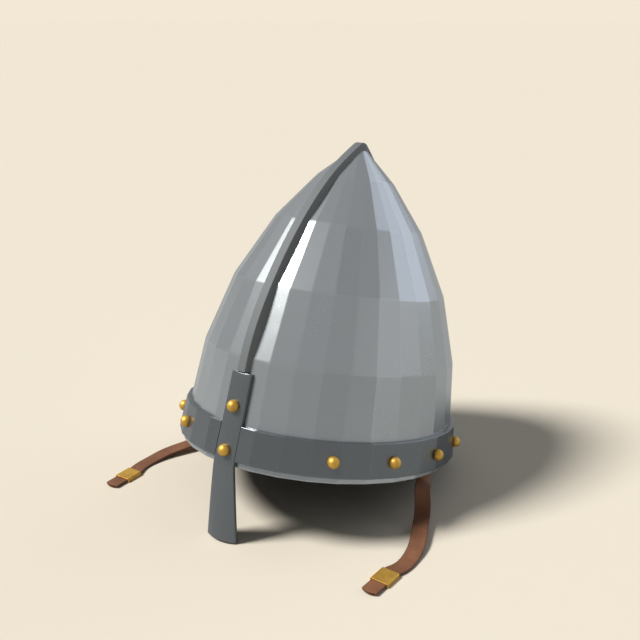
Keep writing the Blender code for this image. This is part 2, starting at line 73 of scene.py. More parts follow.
# Reach of the roundings at the corners of the sections.
BAND_ROUNDINGS = np.array([0.15, 0.3, 0.75, 0.75]) * MM
CREST_ROUNDING = 0.55 * MM
STRAP_ROUNDING = 0.55 * MM
STRAP_END_ROUNDING = np.array([0.4, 0.3]) * MM
NASAL_END_ROUNDING = 0.5 * MM
KEEPER_OUTER_ROUNDINGS = np.array([0.25, 0.25, 1.0, 1.0]) * MM
KEEPER_INNER_ROUNDINGS = np.array([0.1, 0.1, 0.25, 0.25]) * MM
KEEPER_END_ROUNDING = 0.3 * MM

# Shares: of a keeper's wall that its end's rounding takes, of the nasal guard's sides, and of its rows.
KEEPER_WALL_SHARE = 0.3
NASAL_ROUNDINGS = np.array([0.035, 0.24, 0.035, 0.24])
NASAL_BEND = 0.4

# Rows of the nasal guard below the rim, as shares of the way to its tip.
NASAL_LOWER_ROWS = np.array([0.12, 0.3, 0.55, 0.8, 1.0])

# The crest strip: points to a row, share of the last step that bends over the point, points on that bend.
CREST_STEPS = 15
CREST_BEND = 0.7
CREST_BEND_STEPS = 13

# A plane faces a line where the cosine between them is below this.
FACING = -1e-6

# Rivets: angles in degrees from the front, heights over the band's lower edge.
BAND_RIVETS = 13
FIRST_RIVET = 42.0
RIVET_STEP = 24.0
BAND_RIVET_HEIGHT = 11.4 * MM
NASAL_RIVETS = (("nasal_rivet_lower", 6.4 * MM), ("nasal_rivet_upper", 37.4 * MM))
ON_ARRIS = 0.02

# A rivet: its tail's radii and heights over the tail's end, the gap that the tail leaves at an arris, the
# head's underside as shares of its radius.
TAIL = np.array([(0.0, 0.0), (2.2, 0.0), (2.9, 0.0), (3.0, 0.3), (3.0, 0.75), (2.8, 0.9), (2.0, 0.9)]) * MM
TAIL_GAP = 0.85 * MM
SHANK_RADIUS = 2.0 * MM
HEAD_UNDERSIDE = (0.9, 0.98)
HEAD_EDGE = 0.3 * MM
DOME_STEPS = 14
RIVET_SIDES = 40

# The even light: its colour in general and in the metal, and its strength below the horizon and overhead
# as shares of the ambient strength.
EVEN_COLOUR = (0.95, 0.98, 1.0)
MIRRORED_COLOUR = (0.98, 1.0, 1.02)
LOW_SKY = 0.1
HIGH_SKY = 1.45

# Name, width in degrees, colour and direction of the lights; their strengths are in HelmetStudio.
LIGHTS = (
    ("key", 16.0, (1.0, 0.985, 0.955), (-0.482, -0.4285, 0.764)),
    ("fill", 49.0, (0.80, 0.86, 1.0), (0.389, 0.834, 0.391)),
    ("side", 50.0, (1.0, 1.0, 0.98), (0.94, 0.34, 0.15)),
)
LAMP_DISTANCE = 2.0

# The camera and the floor, in metres.
CAMERA_PLACE = (0.3645, -0.5249, 0.3516)
CAMERA_TARGET = (0.0, 0.00016, 0.1294)
FLOOR_REACH = 40.0
FLOOR_LINES = 9

# Heights of a strap's stations on the skull's inner wall; the third is the rim.
STRAP_WALL_HEIGHTS = np.array([7.0, 2.8, -4.4, -5.9]) * MM
STRAP_RIM = 2
STRAP_SEAT_HEIGHT = 2.8 * MM

# Stations of a strap below the rim, as shares: forward, outward, height, quarter turn.
STRAP_STATIONS = np.array([
    (0.079, 0.081, 0.802, 0.48),
    (0.13, 0.21, 0.535, 0.65),
    (0.197, 0.375, 0.278, 0.91),
    (0.295, 0.563, 0.189, 1.0),
    (0.485, 0.899, 0.101, 1.0),
    (0.557, 0.961, 0.061, 1.0),
    (0.70, 0.955, 0.045, 1.0),
])
STRAP_LAST = np.array([(0.755, 0.868), (1.0, 0.826)])
STRAP_STEPS = 10
STRAP_LAST_STEPS = 14

# How far a strap's tip is bowed, and the number of points that take part.
STRAP_TIP = 2.0 * MM
STRAP_TIP_POINTS = 6.0

# Tones of the steel as shares of its colour: worn edges, grinding lines, stains and scale.
EDGE_TONE = 1.1
LINE_TONE = 0.86
STAIN_TONE = 0.62
SCALE_TONE = 0.16

# Scale of the grinding lines across and along the plates, and colour of the spots in the brass.
GRINDING = (1500.0, 1500.0, 45.0)
BRASS_SPOTS = (0.36, 0.20, 0.05)

# A start of the scale that no surface reaches.
NO_SCALE = 100.0

# Steels: names in HelmetFinish of their colour, metal and roughness, and the line where scale begins.
STEELS = {
    "forged_steel": ("steel", "metal", "steel_roughness", len(ROW_HEIGHTS)),
    "crest_steel": ("crest_steel", "crest_metal", "crest_roughness", NO_SCALE),
    "blued_steel": ("dark_steel", "metal", "dark_roughness", NO_SCALE),
}


def plain(name, value, description):
    """A plain number property."""
    return FloatProperty(name=name, description=description, default=value)


def length(name, millimetres, description):
    """A length property, its default in millimetres."""
    return FloatProperty(name=name, description=description, default=millimetres * MM, min=0.0,
                         unit="LENGTH")


def colour(name, value, description):
    """A colour property in linear values."""
    return FloatVectorProperty(name=name, description=description, default=value, subtype="COLOR", min=0.0,
                               max=1.0)


class HelmetSizes(bpy.types.PropertyGroup):
    """Sizes of the plates, rivets and straps"""

    skull_length: length("Skull length", 236.0, "Front to back at the lower edge")
    skull_width: length("Skull width", 202.6, "Side to side at the lower edge")
    skull_height: length("Skull height", 233.4, "Lower edge to point")
    skull_wall: length("Skull wall", 2.0, "Thickness of the skull's steel")
    facets: IntProperty(name="Facets", description="Upright facets round the skull", default=32, min=8)
    rim_drop: length("Rim below band", 4.4, "Skull that shows below the brow band")
    arris: length("Arris rounding", 0.9, "Reach of the softened edge between two facets")
    band_height: length("Band height", 24.8, "Height of the brow band")
    band_thickness: length("Band thickness", 3.0, "Thickness of the brow band")
    seat: length("Seat", 0.4, "Gap between the plates in the CAD model")
    tight: length("Tight seat", 0.06, "Gap that shows between touching pieces")
    fit: length("Fit", 0.3, "Gap round what fits into something")
    nasal_thickness: length("Nasal thickness", 3.0, "Its thickness")
    nasal_above: length("Nasal above band", 36.0, "Its reach above the band")
    nasal_below: length("Nasal below band", 60.0, "Its reach below the band")
    nasal_top_width: length("Nasal top width", 16.6, "Its width at the top")
    nasal_rim_width: length("Nasal rim width", 17.8, "Its width at the skull's edge")
    nasal_tip_width: length("Nasal tip width", 26.0, "Its width at the tip")
    nasal_top_arch: length("Nasal top arch", 1.0, "How far its middle stands before its sides, at the top")
    nasal_tip_arch: length("Nasal tip arch", 4.2, "The same at the tip")
    nasal_set_back: length("Nasal set-back", 8.6, "How far its sides run back below the rim")
    crest_height: length("Crest height", 3.9, "Its height over the skull's arrises")
    crest_width: length("Crest width", 6.6, "Width of its top")
    crest_rise: length("Crest rise", 1.3, "Rise of the strip's corner over the point")
    crest_slope: plain("Crest slope", 0.4, "Outward run of its flanks per depth")
    rivet_radius: length("Rivet radius", 4.3, "Radius of the domed heads")
    rivet_height: length("Rivet height", 5.2, "Height of the domed heads")
    strap_width: length("Strap width", 11.8, "Width of the chin straps")
    strap_thickness: length("Strap thickness", 1.5, "Thickness of the chin straps")
    strap_reach: length("Strap reach", 116.9, "Its run forward from the rim")
    strap_spread: length("Strap spread", 25.6, "Its run outward from the rim")
    keeper_length: length("Keeper length", 14.8, "Length of the strap keepers")
    keeper_wall: length("Keeper wall", 0.6, "Thickness of the keepers' sheet")
    keeper_place: length("Keeper place", 12.9, "From a strap's tip to its keeper")


class HelmetFinish(bpy.types.PropertyGroup):
    """Colours and roughness of the materials"""

    steel: colour("Skull steel", (0.50, 0.53, 0.55), "Colour of the skull")
    crest_steel: colour("Crest steel", (0.19, 0.205, 0.215), "Colour of the crest strip")
    dark_steel: colour("Band steel", (0.208, 0.224, 0.236), "Colour of the band and the nasal guard")
    brass: colour("Brass", (0.86, 0.51, 0.10), "Colour of the rivets and the keepers")
    leather: colour("Leather", (0.235, 0.098, 0.046), "Colour of the straps")
    steel_roughness: plain("Steel roughness", 0.25, "Roughness of the skull")
    crest_roughness: plain("Crest roughness", 0.70, "Roughness of the crest strip")
    dark_roughness: plain("Band roughness", 0.29, "Roughness of the band")
    metal: plain("Bare metal", 0.78, "How metallic the oiled, lightly scaled steel is")
    crest_metal: plain("Crest metal", 0.35, "The same for the dull crest strip")


class HelmetStudio(bpy.types.PropertyGroup):
    """Light, floor and camera"""

    floor: colour("Floor", (0.868, 0.792, 0.664), "Colour of the floor")
    # Painted reflection: the floor as the metal mirrors it, greyer than its own colour.
    floor_mirrored: colour("Mirrored floor", (0.50, 0.51, 0.50), "Colour of the floor in the metal")
    backdrop: colour("Backdrop", (0.888, 0.807, 0.665), "Colour seen behind the floor")
    mirrored: plain("Mirrored sky", 0.36, "Strength of the even light in the metal")
    ambient: plain("Ambient", 0.135, "Strength of the even light")
    key: plain("Key light", 3.4, "Strength of the key light")
    fill: plain("Fill light", 0.46, "Strength of the cool fill light")
    side: plain("Side light", 0.2, "Strength of the faint light from the right")
    view_angle: FloatProperty(name="View angle", description="Angle of view", default=math.radians(40.0),
                              subtype="ANGLE")


def stacked(*parts):
    """Arrays stretched to one shape and set side by side in a new last axis."""
    return np.stack(np.broadcast_arrays(*parts), axis=-1)


def bent(first, corner, last, t):
    """The curve (1-t)^2 first + 2 t (1-t) corner + t^2 last."""
    return (1 - t) ** 2 * first + 2 * t * (1 - t) * corner + t ** 2 * last


def softened(corners, before, after, flats=(0.04, 0.5, 0.96), closed=False):
    """A path through corners, each rounded off, and the running corner number of its points.

    Near a corner C the path runs from A = C + before (P - C) to D = C + after (N - C), with P and N
    the corners before and after it, as (1-t)^2 A + 2 t (1-t) C + t^2 D; between that, straight.
    """
    corners = np.asarray(corners, float)
    count = len(corners)
    extra = (1,) * (corners.ndim - 1)
    shape = (count, 1) + extra
    before = np.broadcast_to(np.asarray(before, float), (count,)).copy()
    after = np.broadcast_to(np.asarray(after, float), (count,)).copy()
    if not closed:
        before[[0, -1]] = after[[0, -1]] = 0.0
    middle = corners[:, None]
    first = middle + before.reshape(shape) * (np.roll(corners, 1, axis=0)[:, None] - middle)
    last = middle + after.reshape(shape) * (np.roll(corners, -1, axis=0)[:, None] - middle)
    t = np.linspace(0.0, 1.0, BEND_STEPS).reshape((1, BEND_STEPS) + extra)
    bends = bent(first, middle, last, t)
    share = np.asarray(flats, float)
    s = share.reshape((1, len(share)) + extra)
    straights = last + s * (np.roll(first, -1, axis=0) - last)
    path = np.concatenate([bends, straights], axis=1).reshape((-1,) + corners.shape[1:])
    number = np.arange(count)[:, None]
    flat_t = t.reshape(1, -1)
    bend_number = number - before[:, None] * (1 - flat_t) + after[:, None] * flat_t
    start = number + after[:, None]
    end = number + 1 - np.roll(before, -1)[:, None]
    numbers = np.concatenate([bend_number, start + share * (end - start)], axis=1).reshape(-1)
    if closed:
        return path, np.append(numbers, numbers[0] + count)
    keep = slice(BEND_STEPS - 1, 1 - BEND_STEPS - len(share))
    return path[keep], numbers[keep]


def rounded(section, reach, flats=(0.05, 0.5, 0.95)):
    """A closed section, its corners rounded within a reach of each, and their running numbers."""
    gaps = np.linalg.norm(section - np.roll(section, -1, axis=0), axis=1)
    return softened(section, reach / np.roll(gaps, 1), reach / gaps, flats, closed=True)


def smooth_path(corners, steps):
    """Points of a natural cubic spline through the corners, with steps points to each span."""
    corners = np.asarray(corners, float)
    spans = np.linalg.norm(np.diff(corners, axis=0), axis=1)
    count = len(corners)
    matrix = np.eye(count)
    inner = np.arange(1, count - 1)
    matrix[inner, inner - 1], matrix[inner, inner], matrix[inner, inner + 1] = (
        spans[:-1], 2 * (spans[:-1] + spans[1:]), spans[1:])
    slopes = np.diff(corners, axis=0) / spans[:, None]
    right = np.zeros_like(corners)
    right[1:-1] = 6 * np.diff(slopes, axis=0)
    bend = np.linalg.solve(matrix, right)
    share = (np.arange(steps) / steps)[None, :, None]
    rest = 1 - share
    path = (rest * corners[:-1, None] + share * corners[1:, None] + spans[:, None, None] ** 2 / 6
            * ((rest ** 3 - rest) * bend[:-1, None] + (share ** 3 - share) * bend[1:, None]))
    return np.concatenate([path.reshape(-1, corners.shape[1]), corners[-1:]])


def unit(vectors):
    """Vectors scaled to length one."""
    return vectors / np.linalg.norm(vectors, axis=-1, keepdims=True)


class Surface:
    """A closed mesh gathered from grids, caps and poles, with a UV pair for each face corner."""

    def __init__(self):
        self.points = []
        self.faces = []
        self.tags = []
        self.count = 0

    def add(self, points):
        """New points; the answer is their numbers, in the shape of the grid."""
        points = np.asarray(points, float)
        numbers = self.count + np.arange(points[..., 0].size).reshape(points.shape[:-1])
        self.points.append(points.reshape(-1, 3))
        self.count += numbers.size
        return numbers

    def grid(self, points, u, v):
        """Quads over a grid of points; u and v tag its lines, one more of them where it wraps."""
        numbers = self.add(points)
        full = numbers[np.arange(len(u)) % numbers.shape[0]][:, np.arange(len(v)) % numbers.shape[1]]
        tags = np.stack(np.meshgrid(u, v, indexing="ij"), axis=-1)
        corners = ((slice(None, -1), slice(None, -1)), (slice(1, None), slice(None, -1)),
                   (slice(1, None), slice(1, None)), (slice(None, -1), slice(1, None)))
        self.faces.append(np.stack([full[c] for c in corners], axis=-1).reshape(-1, 4))
        self.tags.append(np.stack([tags[c] for c in corners], axis=-2).reshape(-1, 2))
        return numbers

    def tube(self, points, u, v, tag=(0.5, 0.5)):
        """A grid that closes round v, with a flat face on its first and last line."""
        numbers = self.grid(points, u, v)
        self.cap(numbers[0], tag)
        self.cap(numbers[-1], tag, flip=True)

    def pole(self, ring, point, u, tag, flip=False):
        """A fan of triangles from a ring of points to one point."""
        top = int(self.add(np.asarray(point, float)[None])[0])
        ahead = np.roll(ring, -1)
        order = [ahead, ring] if flip else [ring, ahead]
        self.faces.append(np.stack(order + [np.full(len(ring), top)], axis=-1))
        here, there = np.asarray(u)[:-1], np.asarray(u)[1:]
        pair = [there, here] if flip else [here, there]
        across = np.stack(pair + [(here + there) / 2], axis=-1)
        self.tags.append(stacked(across, tag).reshape(-1, 2))

    def cap(self, loop, tag, flip=False):
        """One flat face over a loop of points."""
        face = np.asarray(loop)[::-1] if flip else np.asarray(loop)
        self.faces.append(face[None])
        self.tags.append(np.broadcast_to(np.asarray(tag, float), (len(face), 2)))

    def volume(self):
        """The signed volume, positive where the faces point out."""
        points = np.concatenate(self.points)
        total = 0.0
        for faces in self.faces:
            base = points[faces[:, 0]]
            for k in range(1, faces.shape[1] - 1):
                total += np.einsum("ij,ij->", base, np.cross(points[faces[:, k]], points[faces[:, k + 1]]))
        return total / 6

    def build(self, name, finish, nodes, sharp=38.0):
        """The finished piece: rides on the root body and stands for the named nodes."""
        turned = self.volume() < 0
        faces, tags = [], []
        for block, block_tags in zip(self.faces, self.tags):
            block_tags = block_tags.reshape(block.shape + (2,))
            faces.extend((block[:, ::-1] if turned else block).tolist())
            tags.append((block_tags[:, ::-1] if turned else block_tags).reshape(-1, 2))
        mesh = bpy.data.meshes.new(name)
        mesh.from_pydata(np.concatenate(self.points).tolist(), [], faces)
        layer = mesh.uv_layers.new(name="lines")
        layer.data.foreach_set("uv", np.concatenate(tags).astype(np.float32).ravel())
        mesh.shade_smooth()
        mesh.set_sharp_from_angle(angle=math.radians(sharp))
        mesh.materials.append(material(finish))
        piece = bpy.data.objects.new(name, mesh)
        bpy.context.scene.collection.objects.link(piece)
        weighted = piece.modifiers.new("Even flats", "WEIGHTED_NORMAL")
        weighted.keep_sharp = True
        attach(piece, "root")
        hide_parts(*nodes)
        return piece


class Form:
    """The helmet's surfaces as functions, from the sizes in the scene.

    step is the angle of one facet, arris the reach of a softened arris as a share of a facet.
    """

    def __init__(self, sizes):
        self.z = sizes
        self.step = 2 * np.pi / sizes.facets
        self.arris = sizes.arris / (np.pi * sizes.skull_length / sizes.facets)
        rest_y, rest_z = sizes.skull_length / 2, -sizes.rim_drop
        rows = self.nasal_rows()
        tip_z, tip_y = rows[-1, 0], rows[-1, 1] + rows[-1, 3] + sizes.nasal_thickness
        self.tilt = math.atan2(rest_z - tip_z, rest_y - tip_y)
        self.lift = rest_y * math.sin(self.tilt) - rest_z * math.cos(self.tilt)
        self.shift = 0.0
        reach, _, height = self.rows(0.0)[1]
        self.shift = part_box("skull")[1][1] - self.placed([0.0, reach, height])[1]

    def placed(self, points):
        """Points of the upright helmet, tipped back, set on the floor and shifted to the CAD skull."""
        x, y, z = np.moveaxis(np.asarray(points, float), -1, 0)
        c, s = math.cos(self.tilt), math.sin(self.tilt)
        return stacked(x, y * c + z * s + self.shift, -y * s + z * c + self.lift)

    def rows(self, offset):
        """Half length, half width and height of the skull's rows, moved outward by offset."""
        base = stacked(self.z.skull_length / 2 * ROW_SIZES, self.z.skull_width / 2 * ROW_SIZES,
                       self.z.skull_height * ROW_HEIGHTS - self.z.rim_drop)
        along = np.diff(base[:, [0, 2]], axis=0)
        normals = unit(stacked(along[:, 1], -along[:, 0]))
        first = normals[np.r_[0, np.arange(len(normals))]]
        second = normals[np.r_[np.arange(len(normals)), len(normals) - 1]]
        corner = (first + second) / (1 + np.sum(first * second, axis=-1))[:, None]
        corner[0] = 1 / first[0, 0], 0.0
        corner[-1] = 0.0, 1 / second[-1, 1]
        return base + offset * corner[:, [0, 0, 1]]

    def wall(self, height, offset):
        """Half length and half width of the lowest row at a height."""
        low, high = self.rows(0.0)[:2]
        first, second = (self.rows(1.0) - self.rows(0.0))[:2]
        share = (np.asarray(height) - low[2]) / (high[2] - low[2])
        slope = (high[0] - low[0]) / (high[2] - low[2])
        grown = np.asarray(offset) * (first[0] + share * (second[0] - slope * second[2] - first[0]))
        return (low[0] + share * (high[0] - low[0]) + grown, low[1] + share * (high[1] - low[1]) + grown)

    def arrises(self, count):
        """The angles from the front of the first arrises."""
        return 2 * np.pi * np.arange(count) / self.z.facets

    def ring(self):
        """The skull's plan for a half length and half width of one, with softened arrises."""
        angle = self.arrises(self.z.facets)
        plan = stacked(np.sin(angle), -np.cos(angle))
        return softened(plan, self.arris, self.arris, closed=True)

    def fall(self):
        """How far the two front facets fall back for each unit sideways."""
        return (1 - np.cos(self.step)) * self.z.skull_length / (np.sin(self.step) * self.z.skull_width)

    def nasal_half_width(self, height):
        """Half width of the nasal guard at a height on the skull."""
        top = self.z.band_height + self.z.nasal_above
        share = (top - np.asarray(height)) / (top + self.z.rim_drop)
        return (self.z.nasal_top_width + share * (self.z.nasal_rim_width - self.z.nasal_top_width)) / 2

    def nasal_rows(self):
        """Height, front face, half width and arch of the nasal guard, from its top to its tip."""
        z = self.z
        proud = z.seat + z.nasal_thickness
        heights = np.array([z.band_height + z.nasal_above, z.band_height, 0.0, -z.rim_drop])
        upper = stacked(heights, -self.wall(heights, proud)[0], self.nasal_half_width(heights),
                        z.nasal_top_arch)
        share = NASAL_LOWER_ROWS
        eased = share * (1 + share) / 2
        lower = stacked(
            -z.rim_drop - share * (z.nasal_below - z.rim_drop),
            upper[-1, 1] + (z.nasal_set_back - z.nasal_tip_arch + z.nasal_top_arch) * (share + eased) / 2,
            (z.nasal_rim_width + share * (z.nasal_tip_width - z.nasal_rim_width)) / 2,
            z.nasal_top_arch + share * (z.nasal_tip_arch - z.nasal_top_arch))
        return np.concatenate([upper, lower])

    def seat_on_band(self, degrees, height, offset):
        """A place on the faceted band and the direction out of it."""
        column = math.radians(degrees % 360.0) / self.step
        index = math.floor(column + 1e-6)
        share = column - index

        def at(number, level):
            a, b = self.wall(level, offset)
            return np.array([b * np.sin(number * self.step), -a * np.cos(number * self.step), level])

        def normal(number):
            return unit(np.cross(at(number + 1, 0.0) - at(number, 0.0), at(number, height) - at(number, 0.0)))

        outward = normal(index)
        if share < ON_ARRIS:
            outward = unit(outward + normal(index - 1))
        return at(index, height) * (1 - share) + at(index + 1, height) * share, outward

    def seat_on_front(self, height, offset):
        """A place on the middle of the nasal guard and the direction out of it."""
        low, high = self.wall(0.0, offset)[0], self.wall(self.z.band_height, offset)[0]
        outward = unit(np.array([0.0, -self.z.band_height, low - high]))
        return np.array([0.0, -self.wall(height, offset)[0], height]), outward


def build_skull(form):
    """The faceted cap: a profile (out, along and in again) carried round the softened ring.

    A point is (half width * ring x, half length * ring y, height) of the profile.
    """
    outer, inner = form.rows(0.0)[::-1], form.rows(-form.z.skull_wall)
    profile = np.concatenate([outer, inner])
    reach = np.full(len(profile), form.z.arris * ROW_ROUNDING)
    reach[[len(outer) - 1, len(outer)]] = form.z.skull_wall * RIM_ROUNDING
    gaps = np.linalg.norm(np.diff(profile[:, [0, 2]], axis=0), axis=1)
    before = np.minimum(reach / np.r_[1.0, gaps], MOST_ROUNDING)
    after = np.minimum(reach / np.r_[gaps, 1.0], MOST_ROUNDING)
    profile, levels = softened(profile, before, after, flats=(0.03, 0.35, 0.65, 0.97))
    ring, columns = form.ring()
    inside = slice(1, -1)
    points = stacked(profile[inside, None, 1] * ring[:, 0], profile[inside, None, 0] * ring[:, 1],
                     profile[inside, None, 2])
    surface = Surface()
    numbers = surface.grid(form.placed(points), levels[inside], columns)
    surface.tags[-1] = surface.tags[-1][:, ::-1]
    for row, end, flip in ((numbers[0], 0, True), (numbers[-1], -1, False)):
        tip = form.placed(np.array([0.0, 0.0, profile[end, 2]]))
        surface.pole(row, tip, columns, levels[end], flip)
    return surface.build("skull_shell", "forged_steel", ["skull"])


def hull_planes(form, offset):
    """Normals and distances of the facets of the skull, grown by offset."""
    rows = form.rows(offset)
    angle = form.arrises(form.z.facets + 1)
    points = stacked(rows[:, None, 1] * np.sin(angle), -rows[:, None, 0] * np.cos(angle),
                     rows[:, None, 2])
    corner = points[:-1, :-1]
    normals = unit(np.cross(points[:-1, 1:] - corner, points[1:, :-1] - corner)).reshape(-1, 3)
    return normals, np.einsum("ij,ij->i", normals, corner.reshape(-1, 3))


def crest_path(form):
    """The top line of the crest strip, front to back, as x = 0, y and z: both sides run up to a corner.

    Over the point the line is (1-t)^2 A + 2 t (1-t) C + t^2 B, with C the corner and A and B beside it.
    """
    z = form.z
    rows = form.rows(z.crest_height)
    starts = np.array([z.band_height + z.nasal_above, z.band_height]) + z.seat + z.fit
    corner = np.array([0.0, rows[-1, 2] + z.crest_rise])
    sides = []
    for sign, start in zip((-1, 1), starts):
        lowest = (form.wall(start, z.crest_height)[0], start)
        side = np.concatenate([[lowest], rows[1:-2, [0, 2]]]) * (sign, 1)
        sides.append(smooth_path(np.concatenate([side, [corner]]), CREST_STEPS)[:-3])
    before, after = (corner + (side[-1] - corner) * CREST_BEND for side in sides)
    t = np.linspace(0.0, 1.0, CREST_BEND_STEPS)[:, None]
    bend = bent(before, corner, after, t)
    path = np.concatenate([sides[0], bend, sides[1][::-1]])
    return stacked(0.0, *path.T)


def build_crest(form):
    """The strip over the skull: a section with sloped flanks carried along the top line.

    Each foot point is where its flank's line first meets the facets' planes: origin + t direction,
    with t the largest (distance - normal . origin) / (normal . direction) over the facing planes.
    """
    z = form.z
    path = crest_path(form)
    along = unit(np.gradient(path, axis=0))
    inward = stacked(0.0, along[:, 2], -along[:, 1])
    side = np.array([1.0, 0.0, 0.0])
    half = z.crest_width / 2
    flank = np.array([z.crest_slope, 1.0]) / math.hypot(z.crest_slope, 1.0)
    arc = np.linspace(0.0, 1.0, BEND_STEPS)[:, None]
    corner = np.array([half, 0.0])
    start, end = corner - (CREST_ROUNDING, 0.0), corner + CREST_ROUNDING * flank
    edge = bent(start, corner, end, arc)
    top = np.concatenate([edge[::-1] * (-1, 1), [(0.0, 0.0)], edge])
    normals, distances = hull_planes(form, z.tight)

    def foot(across, slope):
        origin = path + across * side
        direction = unit(slope * side + inward)
        facing = direction @ normals.T
        reach = (distances - origin @ normals.T) / np.minimum(facing, FACING)
        return origin + direction * np.where(facing < FACING, reach, -np.inf).max(axis=1)[:, None]

    upper = path[:, None] + top[:, 0, None] * side + top[:, 1, None] * inward[:, None]
    lower = np.stack([foot(half * k, z.crest_slope * k) for k in (1.0, 0.5, 0.0, -0.5, -1.0)], axis=1)
    section = np.concatenate([upper, lower], axis=1)
    edge_tags = np.zeros(BEND_STEPS)
    tags = np.concatenate([edge_tags, [0.5], edge_tags + 1.0, [1.3, 1.4, 1.5, 1.6, 1.7, 2.0]])
    surface = Surface()
    surface.tube(form.placed(section), np.full(len(path), 0.5), tags)
    return surface.build("crest_bar", "crest_steel", ["crest_strip"])


def build_band(form):
    """The brow band: a rounded section carried round the ring, its ends beside the nasal guard.

    Each corner is a ring point of the skull's wall, moved out by the section's offset.
    """
    z = form.z
    inner, outer = z.tight, z.seat + z.band_thickness
    section = np.array([(inner, 0.0), (inner, z.band_height), (outer, z.band_height), (outer, 0.0)])
    section, marks = rounded(section, BAND_ROUNDINGS)
    a, b = form.wall(section[:, 1], section[:, 0])
    angle = form.arrises(z.facets + 1)[:, None]
    corners = stacked(b * np.sin(angle), -a * np.cos(angle), section[:, 1])
    beside = form.nasal_half_width(section[:, 1]) + z.fit
    for row, sign in ((0, 1), (-1, -1)):
        corners[row, :, 0] = sign * beside
        corners[row, :, 1] = -a + form.fall() * beside
    points, columns = softened(corners, form.arris, form.arris)
    surface = Surface()
    surface.tube(form.placed(points), columns, marks)
    return surface.build("band_plate", "blued_steel", ["brow_band"])


def build_nasal(form):
    """The nasal guard: x = across * half width, y = front + arch * across^2 + depth, by rows of height."""
    z = form.z
    rows = form.nasal_rows()
    section = np.array([(-1.0, 0.0), (1.0, 0.0), (1.0, 1.0), (-1.0, 1.0)])
    section, marks = softened(section, np.roll(NASAL_ROUNDINGS, 1), NASAL_ROUNDINGS,
                              flats=(0.08, 0.22, 0.36, 0.5, 0.64, 0.78, 0.92), closed=True)
    across, depth = section[:, 0], section[:, 1] * z.nasal_thickness
    height, front, half, arch = rows.T[..., None]
    points = stacked(across * half, front + arch * across ** 2 + depth, height)
    points = softened(points, NASAL_BEND, NASAL_BEND, flats=(0.2, 0.5, 0.8))[0]
    for end, second in ((0, 1), (-1, -2)):
        middle = points[end].mean(axis=0)
        outward = unit(middle - points[second].mean(axis=0))
        rim = points[end].copy()
        points[end] = rim - outward * NASAL_END_ROUNDING
        small = rim - unit(rim - middle) * NASAL_END_ROUNDING
        points = np.concatenate([[small], points] if end == 0 else [points, [small]])
    surface = Surface()
    surface.tube(form.placed(points), np.full(len(points), 0.5), marks, tag=(0.0, 0.5))
    return surface.build("nasal_plate", "blued_steel", ["nasal_guard"], sharp=50.0)


def rivet_profile(z, grip):
    """Tail, shank and domed head: the head's radius falls as a cosine while its height rises as a sine."""
    angle = np.radians(np.linspace(0.0, 90.0, DOME_STEPS))
    radius = z.rivet_radius
    dome_foot = z.fit + z.rivet_height - radius
    dome = stacked(radius * np.cos(angle), dome_foot + radius * np.sin(angle))
    tail = TAIL + (0.0, -grip - TAIL_GAP - TAIL[-1, 1])
    inner, outer = HEAD_UNDERSIDE
    rim = np.array([(SHANK_RADIUS, z.tight), (radius * inner, z.tight), (radius * outer, HEAD_EDGE)])
    return np.concatenate([tail, rim, dome])


def build_rivet(form, name, place, outward, grip):
    """A rivet: its profile (radius, height) carried round the outward direction."""
    profile = rivet_profile(form.z, grip)
    helper = np.array([0.0, 0.0, 1.0]) if abs(outward[2]) < 0.9 else np.array([1.0, 0.0, 0.0])
    first = unit(np.cross(helper, outward))
    second = np.cross(outward, first)
    around = np.arange(RIVET_SIDES + 1) / RIVET_SIDES
    angle = 2 * np.pi * np.arange(RIVET_SIDES) / RIVET_SIDES
    radial = np.cos(angle)[:, None] * first + np.sin(angle)[:, None] * second
    inside = profile[1:-1]
    points = place + inside[:, None, :1] * radial + inside[:, None, 1:] * outward
    heights = np.linspace(0.0, 1.0, len(profile))
    surface = Surface()
    numbers = surface.grid(form.placed(points), heights[1:-1], around)
    surface.pole(numbers[0], form.placed(place + outward * profile[0, 1]), around, 0.0, flip=True)
    surface.pole(numbers[-1], form.placed(place + outward * profile[-1, 1]), around, 1.0)
    return surface.build(f"{name}_brass", "worn_brass", [name], sharp=60.0)


def strap_route(form, side):
    """The stations of a strap's middle line and their shares of the quarter turn.

    It lies on the skull's inner wall, hangs below the rim, turns and runs forward on the floor.
    """
    z = form.z
    a, b = form.wall(0.0, 0.0)
    gap = z.fit + (1 - math.cos(form.step)) * b / (math.sin(form.step) * a) * z.strap_width / 2
    outward = unit(np.array([side * z.band_height, 0.0, b - form.wall(z.band_height, 0.0)[1]]))
    down = np.array([side * abs(outward[2]), 0.0, -abs(outward[0])])
    place = np.array([side * form.wall(STRAP_SEAT_HEIGHT, 0.0)[1], 0.0, STRAP_SEAT_HEIGHT])
    inside = -(z.skull_wall + gap + z.strap_thickness / 2)
    wall = form.placed(place + outward * inside + down * (STRAP_SEAT_HEIGHT - STRAP_WALL_HEIGHTS)[:, None])
    rim = wall[STRAP_RIM]

    def laid(forward, out, height):
        return stacked(rim[0] + side * z.strap_spread * out, rim[1] - z.strap_reach * forward, height)

    forward, out, height, turn = STRAP_STATIONS.T
    hanging = laid(forward, out, np.maximum(rim[2] * height, z.strap_thickness / 2))
    last = laid(*STRAP_LAST.T, z.keeper_wall + z.fit + z.strap_thickness / 2)
    corners = np.concatenate([wall, hanging, last])
    turns = np.concatenate([np.zeros(len(wall)), turn, np.ones(len(last))])
    return corners, turns


